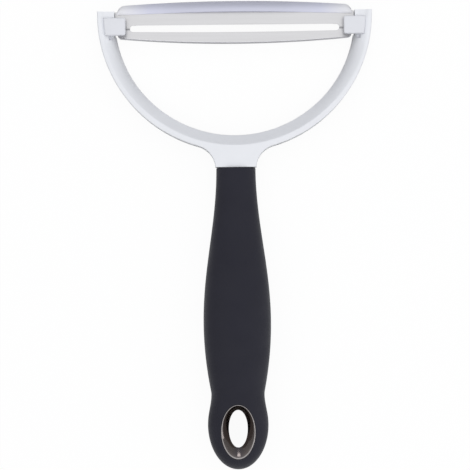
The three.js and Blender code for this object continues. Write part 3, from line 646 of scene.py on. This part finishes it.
def make_spine():
    places = stations(SPINE_END, SPINE_CORNER)
    bar = loft("spine_bar", [spine_ring(x) for x in places])
    longer = (SPINE_END + OVERRUN) / SPINE_END
    low, high = BLADE_BACK - FIT, BLADE_FRONT + SEAM
    groove = [
        [
            (x * longer, FORK_Y - OVERRUN, low),
            (x * longer, blade_top(x) + FIT, low),
            (x * longer, blade_top(x) + FIT, high),
            (x * longer, FORK_Y - OVERRUN, high),
        ]
        for x in places
    ]
    cut(bar, loft("groove", groove))
    return join(bar, *spine_pegs(SPINE_PEG_RADIUS, low - FIT, high + FIT))


# Handle shape at each station
def soft_max(a, b, blend):
    """The greater of two values, blended where they are nearly equal."""
    overlap = max(blend - abs(a - b), 0) / blend
    return max(a, b) + overlap**2 * blend / 4


def half_width(station):
    along_tail = (station - TAIL_STATION) / TAIL_LENGTH
    tail = TAIL_WIDTH / 2 * math.sqrt(max(1 - along_tail**2, 0))
    if station >= TAIL_STATION:
        return tail
    if station <= BELLY_STATION:
        return lerp(TOP_WIDTH, BELLY_WIDTH, ease(station / BELLY_STATION)) / 2
    belly = BELLY_WIDTH / 2 - (station - BELLY_STATION) ** 2 / (2 * BELLY_CURVE)
    return soft_max(belly, tail, WAIST_BLEND)


def along(station, top, belly, tail):
    """A value that eases from the top to the belly and on to the tail."""
    if station <= BELLY_STATION:
        return lerp(top, belly, ease(station / BELLY_STATION))
    return lerp(belly, tail, ease((station - BELLY_STATION) / (TAIL_STATION - BELLY_STATION)))


def half_thickness(station):
    past = max(station - HANDLE_LENGTH + TAIL_NOSE, 0) / TAIL_NOSE
    full = along(station, TOP_THICKNESS, BELLY_THICKNESS, TAIL_THICKNESS) / 2
    return full * math.sqrt(max(1 - past**2, 0))


def middle_height(station):
    return along(station, NECK_MIDDLE, BELLY_THICKNESS / 2, TAIL_HEIGHT)


def grip_surface(x, y, side):
    """Height of the grip's front, at side 1, or back, at side -1."""
    station = GRIP_TOP - y
    across = min(abs(x) / half_width(station), 1)
    share = (1 - across**SECTION_POWER) ** (1 / SECTION_POWER)
    return middle_height(station) + side * half_thickness(station) * share


def oval_ring(station, tuck):
    """The handle's section at a station, drawn in by a tuck."""
    width = max(half_width(station) - tuck, TAIL_TIP)
    thickness = max(half_thickness(station) - tuck, TAIL_TIP)
    ring = []
    for angle in spread(0, 2 * math.pi, GRIP_SIDES)[:-1]:
        c, s = math.cos(angle), math.sin(angle)
        across = math.copysign(width * abs(c) ** (2 / SECTION_POWER), c)
        height = math.copysign(thickness * abs(s) ** (2 / SECTION_POWER), s)
        ring.append((across, GRIP_TOP - station, middle_height(station) + height))
    return ring


def handle_body(name, tuck, edge):
    """The handle's form drawn in by a tuck, with its top edge rounded."""
    top = tuck
    end = HANDLE_LENGTH - tuck
    rounding = [top + edge * (1 - math.cos(a)) for a in spread(0, math.pi / 2, EDGE_STEPS)]
    tail = [(end - TAIL_STATION) * math.sin(a) for a in spread(0, math.pi / 2, GRIP_STATIONS)]
    places = [
        *(rounding[:-1] if edge else []),
        *spread(top + edge, BELLY_STATION, GRIP_STATIONS),
        *spread(BELLY_STATION, TAIL_STATION, GRIP_STATIONS)[1:-1],
        *[TAIL_STATION + past for past in tail],
    ]
    rings = []
    for station in places:
        short = max(edge - (station - top), 0)
        rings.append(oval_ring(station, tuck + edge - math.sqrt(edge**2 - short**2)))
    return loft(name, rings)


# Hanging hole
HOLE_ANGLES = spread(0, 2 * math.pi, HOLE_SIDES)[:-1]


def oval_at(angle, grow):
    """A point on the hole's outline, grown from where it is narrowest."""
    across, length = HOLE_WIDTH / 2 + grow, HOLE_LENGTH / 2 + grow * FUNNEL_ENDS
    return across * math.cos(angle), HOLE_Y - grow * FUNNEL_LEAN + length * math.sin(angle)


def hole_ring(name, section_at):
    """A ring round the hole whose section is given, at each angle, as growth and height pairs."""
    rings = [
        [(*oval_at(angle, grow), height) for grow, height in section_at(angle)]
        for angle in HOLE_ANGLES
    ]
    return loft(name, rings, closed=True)


def lip_height(angle, side):
    return grip_surface(*oval_at(angle, LIP_OUTSIDE), side) + side * LIP_PROUD


def lip_seat(side):
    """The recess in the grip that a lip lies in."""

    def section(angle):
        floor = lip_height(angle, side) - side * (LIP_DEPTH + FIT)
        return [
            (0, floor),
            (LIP_OUTSIDE + FIT, floor),
            (LIP_OUTSIDE + FIT, floor + side * FAR),
            (0, floor + side * FAR),
        ]

    return hole_ring("seat", section)


def make_ring(name, side):
    round_off = LIP_WIDTH / 2

    def section(angle):
        face = lip_height(angle, side)
        joint = lip_height(angle, 1) - FUNNEL_DEPTH + side * FIT / 2
        edge = face - side * round_off
        wall = [
            (t * FUNNEL, lerp(joint, edge, 1 - (1 - t) ** FUNNEL_CROWN))
            for t in spread(0, 1, WALL_STEPS)[:-1]
        ]
        bead = [
            (FUNNEL + round_off + u, edge + side * w)
            for u, w in arc(0, 0, round_off, math.pi, 0, BEAD_STEPS)
        ]
        under = face - side * LIP_DEPTH
        outside = [(LIP_OUTSIDE, under), (LINER_OUTSIDE, under), (LINER_OUTSIDE, joint)]
        return [*wall, *bead, *outside]

    return hole_ring(name, section)


def painted_highlight_bead_faces(ring):
    """The faces of the bead round a ring's mouth, which come after the wall's in each slice of the ring, and
    take a brighter copy of the plating as a painted highlight.
    """
    in_slice = len(ring.data.polygons) // HOLE_SIDES
    return [
        face
        for i, face in enumerate(ring.data.polygons)
        if WALL_STEPS <= i % in_slice < WALL_STEPS + BEAD_STEPS
    ]


def make_grip():
    half = TANG_WIDTH / 2 + FIT
    depth = TANG_DEPTH / 2 + FIT
    body = handle_body("soft_grip", 0, GRIP_EDGE)
    mouth = block(-half, half, GRIP_TOP - 2 * GRIP_WALL, FAR, NECK_MIDDLE - depth, NECK_MIDDLE + depth)
    bore = prism([oval_at(angle, LINER_OUTSIDE + FIT) for angle in HOLE_ANGLES], -FAR, FAR)
    return cut(body, handle_body("hollow", GRIP_WALL, 0), mouth, bore, lip_seat(1), lip_seat(-1))


# Finishes
NOISE_LOW = 0.3  # most of a noise lies between these
NOISE_HIGH = 0.7
ALONG_BLADE = (0.02, 1, 1)  # draws the brushing out along the blade
ROUND_PINS = (1, 0.1, 0.1)  # and round the pins
SPINE_PLAIN = 0.42  # share of the spine's half length, from its middle, that has its plain colour, before the painted light towards the ends begins


class Finish:
    """A material with its main shader, and short ways to add nodes to it."""

    def __init__(self, name, color, roughness, metallic=0.0):
        self.material = bpy.data.materials.new(name)
        self.material.use_nodes = True
        self.tree = self.material.node_tree
        self.shader = self.tree.nodes["Principled BSDF"]
        self.color = color
        self.roughness = roughness
        self.set("Metallic", metallic)
        self.set("Roughness", roughness)
        self.place = self.tree.nodes.new("ShaderNodeTexCoord").outputs["Object"]

    def set(self, socket, value):
        self.shader.inputs[socket].default_value = value

    def link(self, output, socket):
        self.tree.links.new(output, socket)

    def noise(self, scale, detail=3.0, stretch=(1, 1, 1)):
        """Noise with cells of 1 / scale metres, drawn out along the axes whose stretch is small."""
        mapping = self.tree.nodes.new("ShaderNodeMapping")
        mapping.inputs["Scale"].default_value = stretch
        self.link(self.place, mapping.inputs["Vector"])
        node = self.tree.nodes.new("ShaderNodeTexNoise")
        node.inputs["Scale"].default_value = scale
        node.inputs["Detail"].default_value = detail
        self.link(mapping.outputs["Vector"], node.inputs["Vector"])
        return node.outputs["Fac"]

    def sideways(self, reach):
        """How far a point lies to either side, as a share of a reach."""
        parts = self.tree.nodes.new("ShaderNodeSeparateXYZ")
        self.link(self.place, parts.inputs["Vector"])
        scaled = self.tree.nodes.new("ShaderNodeMath")
        scaled.operation = "MULTIPLY"
        scaled.inputs[1].default_value = 1 / reach / MM
        self.link(parts.outputs["X"], scaled.inputs[0])
        outward = self.tree.nodes.new("ShaderNodeMath")
        outward.operation = "ABSOLUTE"
        self.link(scaled.outputs[0], outward.inputs[0])
        return outward.outputs[0]

    def ranged(self, value, low, high):
        """A noise spread over a range."""
        node = self.tree.nodes.new("ShaderNodeMapRange")
        node.inputs["From Min"].default_value = NOISE_LOW
        node.inputs["From Max"].default_value = NOISE_HIGH
        node.inputs["To Min"].default_value = low
        node.inputs["To Max"].default_value = high
        self.link(value, node.inputs["Value"])
        return node.outputs["Result"]

    def color_by(self, value, vary):
        """The base colour, a little darker and lighter with a noise."""
        node = self.tree.nodes.new("ShaderNodeMix")
        node.data_type = "RGBA"
        dark = [c * (1 - vary) for c in self.color]
        light = [min(c * (1 + vary), 1) for c in self.color]
        node.inputs["A"].default_value = (*dark, 1)
        node.inputs["B"].default_value = (*light, 1)
        self.link(self.ranged(value, 0, 1), node.inputs["Factor"])
        self.link(node.outputs["Result"], self.shader.inputs["Base Color"])

    def color_along(self, value, stops):
        """Colours that turn into each other as a value passes their stops."""
        node = self.tree.nodes.new("ShaderNodeValToRGB")
        ramp = node.color_ramp
        while len(ramp.elements) < len(stops):
            ramp.elements.new(1)
        for element, (stop, color) in zip(ramp.elements, stops):
            element.position = stop
            element.color = (*color, 1)
        self.link(value, node.inputs["Fac"])
        self.link(node.outputs["Color"], self.shader.inputs["Base Color"])

    def roughness_by(self, value, below, above):
        """The roughness, a little lower and higher with a noise."""
        ranged = self.ranged(value, self.roughness - below, self.roughness + above)
        self.link(ranged, self.shader.inputs["Roughness"])

    def bump_by(self, value, height, strength):
        node = self.tree.nodes.new("ShaderNodeBump")
        node.inputs["Strength"].default_value = strength
        node.inputs["Distance"].default_value = height * MM
        self.link(value, node.inputs["Height"])
        self.link(node.outputs["Normal"], self.shader.inputs["Normal"])


def cast_paint():
    """Satin silver-grey coat over a casting, with a faint orange peel."""
    finish = Finish("cast_paint", color=(0.85, 0.863, 0.897), roughness=0.42, metallic=0.03)
    finish.set("Specular IOR Level", 0.25)
    finish.color_by(finish.noise(scale=90), vary=0.012)
    peel = finish.noise(scale=1400, detail=2.0)
    finish.roughness_by(peel, below=0.04, above=0.06)
    finish.bump_by(peel, height=0.02, strength=0.35)
    return finish.material


def moulded_plastic(name, color, painted_light_toward_ends=()):
    """Satin plastic with the fine spark texture of its mould.

    On the spine it turns to other colours at their stops on the way to the ends, which is painted light and
    shade: darker and bluer in the middle, paler at the ends."""
    finish = Finish(name, color, roughness=0.45)
    finish.set("Specular IOR Level", 0.2)
    if painted_light_toward_ends:
        finish.color_along(finish.sideways(SPINE_END), [(SPINE_PLAIN, color), *painted_light_toward_ends])
    else:
        finish.color_by(finish.noise(scale=160), vary=0.012)
    texture = finish.noise(scale=4000, detail=2.0)
    finish.roughness_by(texture, below=0.05, above=0.05)
    finish.bump_by(texture, height=0.01, strength=0.3)
    return finish.material


def brushed_steel(name, color, roughness, stretch):
    """Steel with fine lines, drawn out along the axes whose stretch is small."""
    finish = Finish(name, color, roughness, metallic=1.0)
    finish.set("Anisotropic", 0.4)
    lines = finish.noise(scale=900, detail=4.0, stretch=stretch)
    finish.color_by(lines, vary=0.035)
    finish.roughness_by(lines, below=0.05, above=0.07)
    finish.bump_by(lines, height=0.006, strength=0.3)
    return finish.material


def soft_touch():
    """Matte rubber coat with a fine grain and slightly worn, smoother patches."""
    finish = Finish("soft_touch", color=(0.0128, 0.0128, 0.0225), roughness=0.6)
    finish.set("Specular IOR Level", 0.22)
    finish.set("Sheen Weight", 0.22)
    finish.color_by(finish.noise(scale=60), vary=0.06)
    grain = finish.noise(scale=3200)
    finish.roughness_by(finish.noise(scale=110), below=0.05, above=0.06)
    finish.bump_by(grain, height=0.03, strength=0.4)
    return finish.material


def dark_plate(name, color):
    """Polished dark plating with faint smears."""
    finish = Finish(name, color, roughness=0.1, metallic=1.0)
    smears = finish.noise(scale=220)
    finish.color_by(smears, vary=0.05)
    finish.roughness_by(smears, below=0.03, above=0.04)
    return finish.material


def inner_plastic():
    """Plain dark plastic, as moulded."""
    finish = Finish("inner_plastic", color=(0.014, 0.014, 0.016), roughness=0.55)
    texture = finish.noise(scale=2500, detail=2.0)
    finish.color_by(texture, vary=0.08)
    finish.bump_by(texture, height=0.02, strength=0.3)
    return finish.material


# Pieces and what they stand for
def place_piece(made, node, body, material):
    made.data.materials.append(material)
    made.data.shade_smooth()
    made.data.set_sharp_from_angle(angle=SMOOTH_ANGLE)
    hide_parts(node)
    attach(made, body)


def give_faces(piece, faces, material):
    """Gives some faces of a piece a second material."""
    piece.data.materials.append(material)
    for face in faces:
        face.material_index = 1


paint = cast_paint()
cap_plastic = moulded_plastic("cap_plastic", (0.78, 0.79, 0.83))
# The spine's colour ramp is painted light and shade: darker and bluer in its middle, paler towards its ends.
spine_plastic = moulded_plastic(
    "spine_plastic",
    (0.623, 0.632, 0.742),
    painted_light_toward_ends=[(0.73, (0.685, 0.695, 0.815)), (0.96, (0.87, 0.87, 0.9))],
)
blade_steel = brushed_steel("blade_steel", (0.675, 0.67, 0.678), roughness=0.34, stretch=ALONG_BLADE)
# Darker, rougher steel for the crease's floor: painted shade in the crease.
painted_crease_shade = brushed_steel("painted_crease_shade", (0.49, 0.49, 0.5), roughness=0.5, stretch=ALONG_BLADE)
pin_steel = brushed_steel("pin_steel", (0.66, 0.66, 0.68), roughness=0.3, stretch=ROUND_PINS)
rubber = soft_touch()
plating = dark_plate("dark_plate", (0.172, 0.15, 0.142))
# A lighter copy of the dark plating for the bead round each mouth: a painted highlight.
bead_painted_highlight = dark_plate("plate_painted_highlight", (0.34, 0.32, 0.315))
core_plastic = inner_plastic()

cap_right = make_cap()
cap_left = mirrored(cap_right)
cap_left.name = "cap_left"

place_piece(make_fork(), "fork", "handle", paint)
place_piece(cap_right, "pivot_cap_right", "handle", cap_plastic)
place_piece(cap_left, "pivot_cap_left", "handle", cap_plastic)
blade = make_blade()
place_piece(blade, "blade", "swivel_blade", blade_steel)
# The crease's floor takes the darker steel: painted shade.
give_faces(blade, painted_crease_shade_faces(blade), painted_crease_shade)
place_piece(make_spine(), "blade_spine", "swivel_blade", spine_plastic)
place_piece(make_grip(), "grip", "handle", rubber)
for name, node, side in [("ring_front", "hang_ring_front", 1), ("ring_rear", "hang_ring_rear", -1)]:
    ring = make_ring(name, side)
    place_piece(ring, node, "handle", plating)
    # The bead takes the lighter plating: a painted highlight.
    give_faces(ring, painted_highlight_bead_faces(ring), bead_painted_highlight)

for node, material in [
    ("pivot_pin_left", pin_steel),
    ("pivot_pin_right", pin_steel),
    ("handle_core", core_plastic),
]:
    kept = frame["nodes"][node]
    kept.material_slots[0].material = material

# Stage: a pale floor that looks white, with the peeler's faint shadow, and low walls of the same far away
FLOOR_SIZE = 12000
WALL_HEIGHT = 1800
FLOOR_PALE = (0.98, 0.98, 0.98, 1)  # of the share of it that takes shadow
FLOOR_GREY = (0.12, 0.12, 0.12, 1)  # to rays that only carry light
SHADOW_SHARE = 0.06  # as the camera sees it
MIRRORED_SHADOW_SHARE = 0.9  # and as glossy surfaces mirror it


def seen_directly(tree, rays):
    """1 for rays from the camera and for their mirror images, 0 for rays that only carry light."""
    seen = rays.outputs["Is Camera Ray"]
    for kind in ("Is Glossy Ray", "Is Transmission Ray"):
        either = tree.nodes.new("ShaderNodeMath")
        either.operation = "MAXIMUM"
        tree.links.new(seen, either.inputs[0])
        tree.links.new(rays.outputs[kind], either.inputs[1])
        seen = either.outputs[0]
    return seen


def floor_material():
    made = bpy.data.materials.new("floor_white")
    made.use_nodes = True
    tree = made.node_tree
    tree.nodes.clear()
    output = tree.nodes.new("ShaderNodeOutputMaterial")
    seen = tree.nodes.new("ShaderNodeMixShader")
    faint = tree.nodes.new("ShaderNodeMixShader")
    rays = tree.nodes.new("ShaderNodeLightPath")
    shadow = tree.nodes.new("ShaderNodeMapRange")
    shadow.inputs["To Min"].default_value = SHADOW_SHARE
    shadow.inputs["To Max"].default_value = MIRRORED_SHADOW_SHARE
    white = tree.nodes.new("ShaderNodeEmission")
    pale = tree.nodes.new("ShaderNodeBsdfDiffuse")
    pale.inputs["Color"].default_value = FLOOR_PALE
    grey = tree.nodes.new("ShaderNodeBsdfDiffuse")
    grey.inputs["Color"].default_value = FLOOR_GREY
    link = tree.links.new
    link(rays.outputs["Is Glossy Ray"], shadow.inputs["Value"])
    link(shadow.outputs["Result"], faint.inputs["Fac"])
    link(white.outputs[0], faint.inputs[1])
    link(pale.outputs[0], faint.inputs[2])
    link(seen_directly(tree, rays), seen.inputs["Fac"])
    link(grey.outputs[0], seen.inputs[1])
    link(faint.outputs[0], seen.inputs[2])
    link(seen.outputs[0], output.inputs["Surface"])
    return made


far = FLOOR_SIZE / 2
corners = [(-far, -far), (far, -far), (far, far), (-far, far)]
sides = len(corners)
walls = [(i, i + sides, (i + 1) % sides + sides, (i + 1) % sides) for i in range(sides)]
floor = mesh_object(
    "floor",
    [(x, y, z) for z in (0, WALL_HEIGHT) for x, y in corners],
    [tuple(range(sides)), *walls],
)
floor.data.materials.append(floor_material())

# Light: a white surround, dimmer low down and beyond the blade, a soft key at the right, a strip for the ring
LOW_STRENGTH = 0.34
FULL_STRENGTH = 1.06
FULL_HEIGHT = 0.75  # sine of the elevation where the surround reaches its full strength
DIM_WAY = (0, 1, -0.45)  # a direction is dimmed by how far it runs this way
DIM_START = 0.2
DIM_END = 0.95
SURROUND_COLOR = (0.985, 0.99, 1.0, 1)
DIM_COLOR = (0.36, 0.38, 0.49, 1)


def surround_world():
    world = bpy.data.worlds.new("studio")
    world.use_nodes = True
    tree = world.node_tree
    link = tree.links.new
    background = tree.nodes["Background"]
    way = tree.nodes.new("ShaderNodeTexCoord")
    height = tree.nodes.new("ShaderNodeSeparateXYZ")
    strength = tree.nodes.new("ShaderNodeMapRange")
    strength.interpolation_type = "SMOOTHSTEP"
    strength.inputs["From Max"].default_value = FULL_HEIGHT
    strength.inputs["To Min"].default_value = LOW_STRENGTH
    strength.inputs["To Max"].default_value = FULL_STRENGTH
    toward = tree.nodes.new("ShaderNodeVectorMath")
    toward.operation = "DOT_PRODUCT"
    toward.inputs[1].default_value = DIM_WAY
    dimmed = tree.nodes.new("ShaderNodeMapRange")
    dimmed.interpolation_type = "SMOOTHSTEP"
    dimmed.inputs["From Min"].default_value = DIM_START
    dimmed.inputs["From Max"].default_value = DIM_END
    tint = tree.nodes.new("ShaderNodeMix")
    tint.data_type = "RGBA"
    tint.inputs["A"].default_value = SURROUND_COLOR
    tint.inputs["B"].default_value = DIM_COLOR
    link(way.outputs["Generated"], height.inputs[0])
    link(height.outputs["Z"], strength.inputs["Value"])
    link(strength.outputs["Result"], background.inputs["Strength"])
    link(way.outputs["Generated"], toward.inputs[0])
    link(toward.outputs["Value"], dimmed.inputs["Value"])
    link(dimmed.outputs["Result"], tint.inputs["Factor"])
    link(tint.outputs["Result"], background.inputs["Color"])
    return world


bpy.context.scene.world = surround_world()


def area_light(name, place, width, height, watts):
    """A rectangular lamp that faces the middle of the peeler."""
    data = bpy.data.lights.new(name, "AREA")
    data.shape = "RECTANGLE"
    data.size = width * MM
    data.size_y = height * MM
    data.energy = watts
    lamp = bpy.data.objects.new(name, data)
    lamp.location = Vector(place) * MM
    lamp.rotation_euler = (-lamp.location).to_track_quat("-Z", "Y").to_euler()
    bpy.context.scene.collection.objects.link(lamp)


area_light("key", place=(950, -250, 300), width=500, height=300, watts=1.3)
area_light("strip", place=(-40, 640, 400), width=400, height=100, watts=0.34)

# Camera straight above, as the photograph was taken
CAMERA_PLACE = Vector((-0.64, -0.6, 650))
CAMERA_ROLL = math.radians(-0.53)
VIEW_WIDTH = 202.3  # of the table that the picture takes in
SENSOR_WIDTH = 36
camera_data = bpy.data.cameras.new("camera")
camera_data.sensor_width = SENSOR_WIDTH
camera_data.lens = SENSOR_WIDTH * CAMERA_PLACE.z / VIEW_WIDTH
camera = bpy.data.objects.new("camera", camera_data)
camera.location = CAMERA_PLACE * MM
camera.rotation_euler = (0, 0, CAMERA_ROLL)
bpy.context.scene.collection.objects.link(camera)
bpy.context.scene.camera = camera
bpy.context.scene.view_settings.view_transform = "Standard"
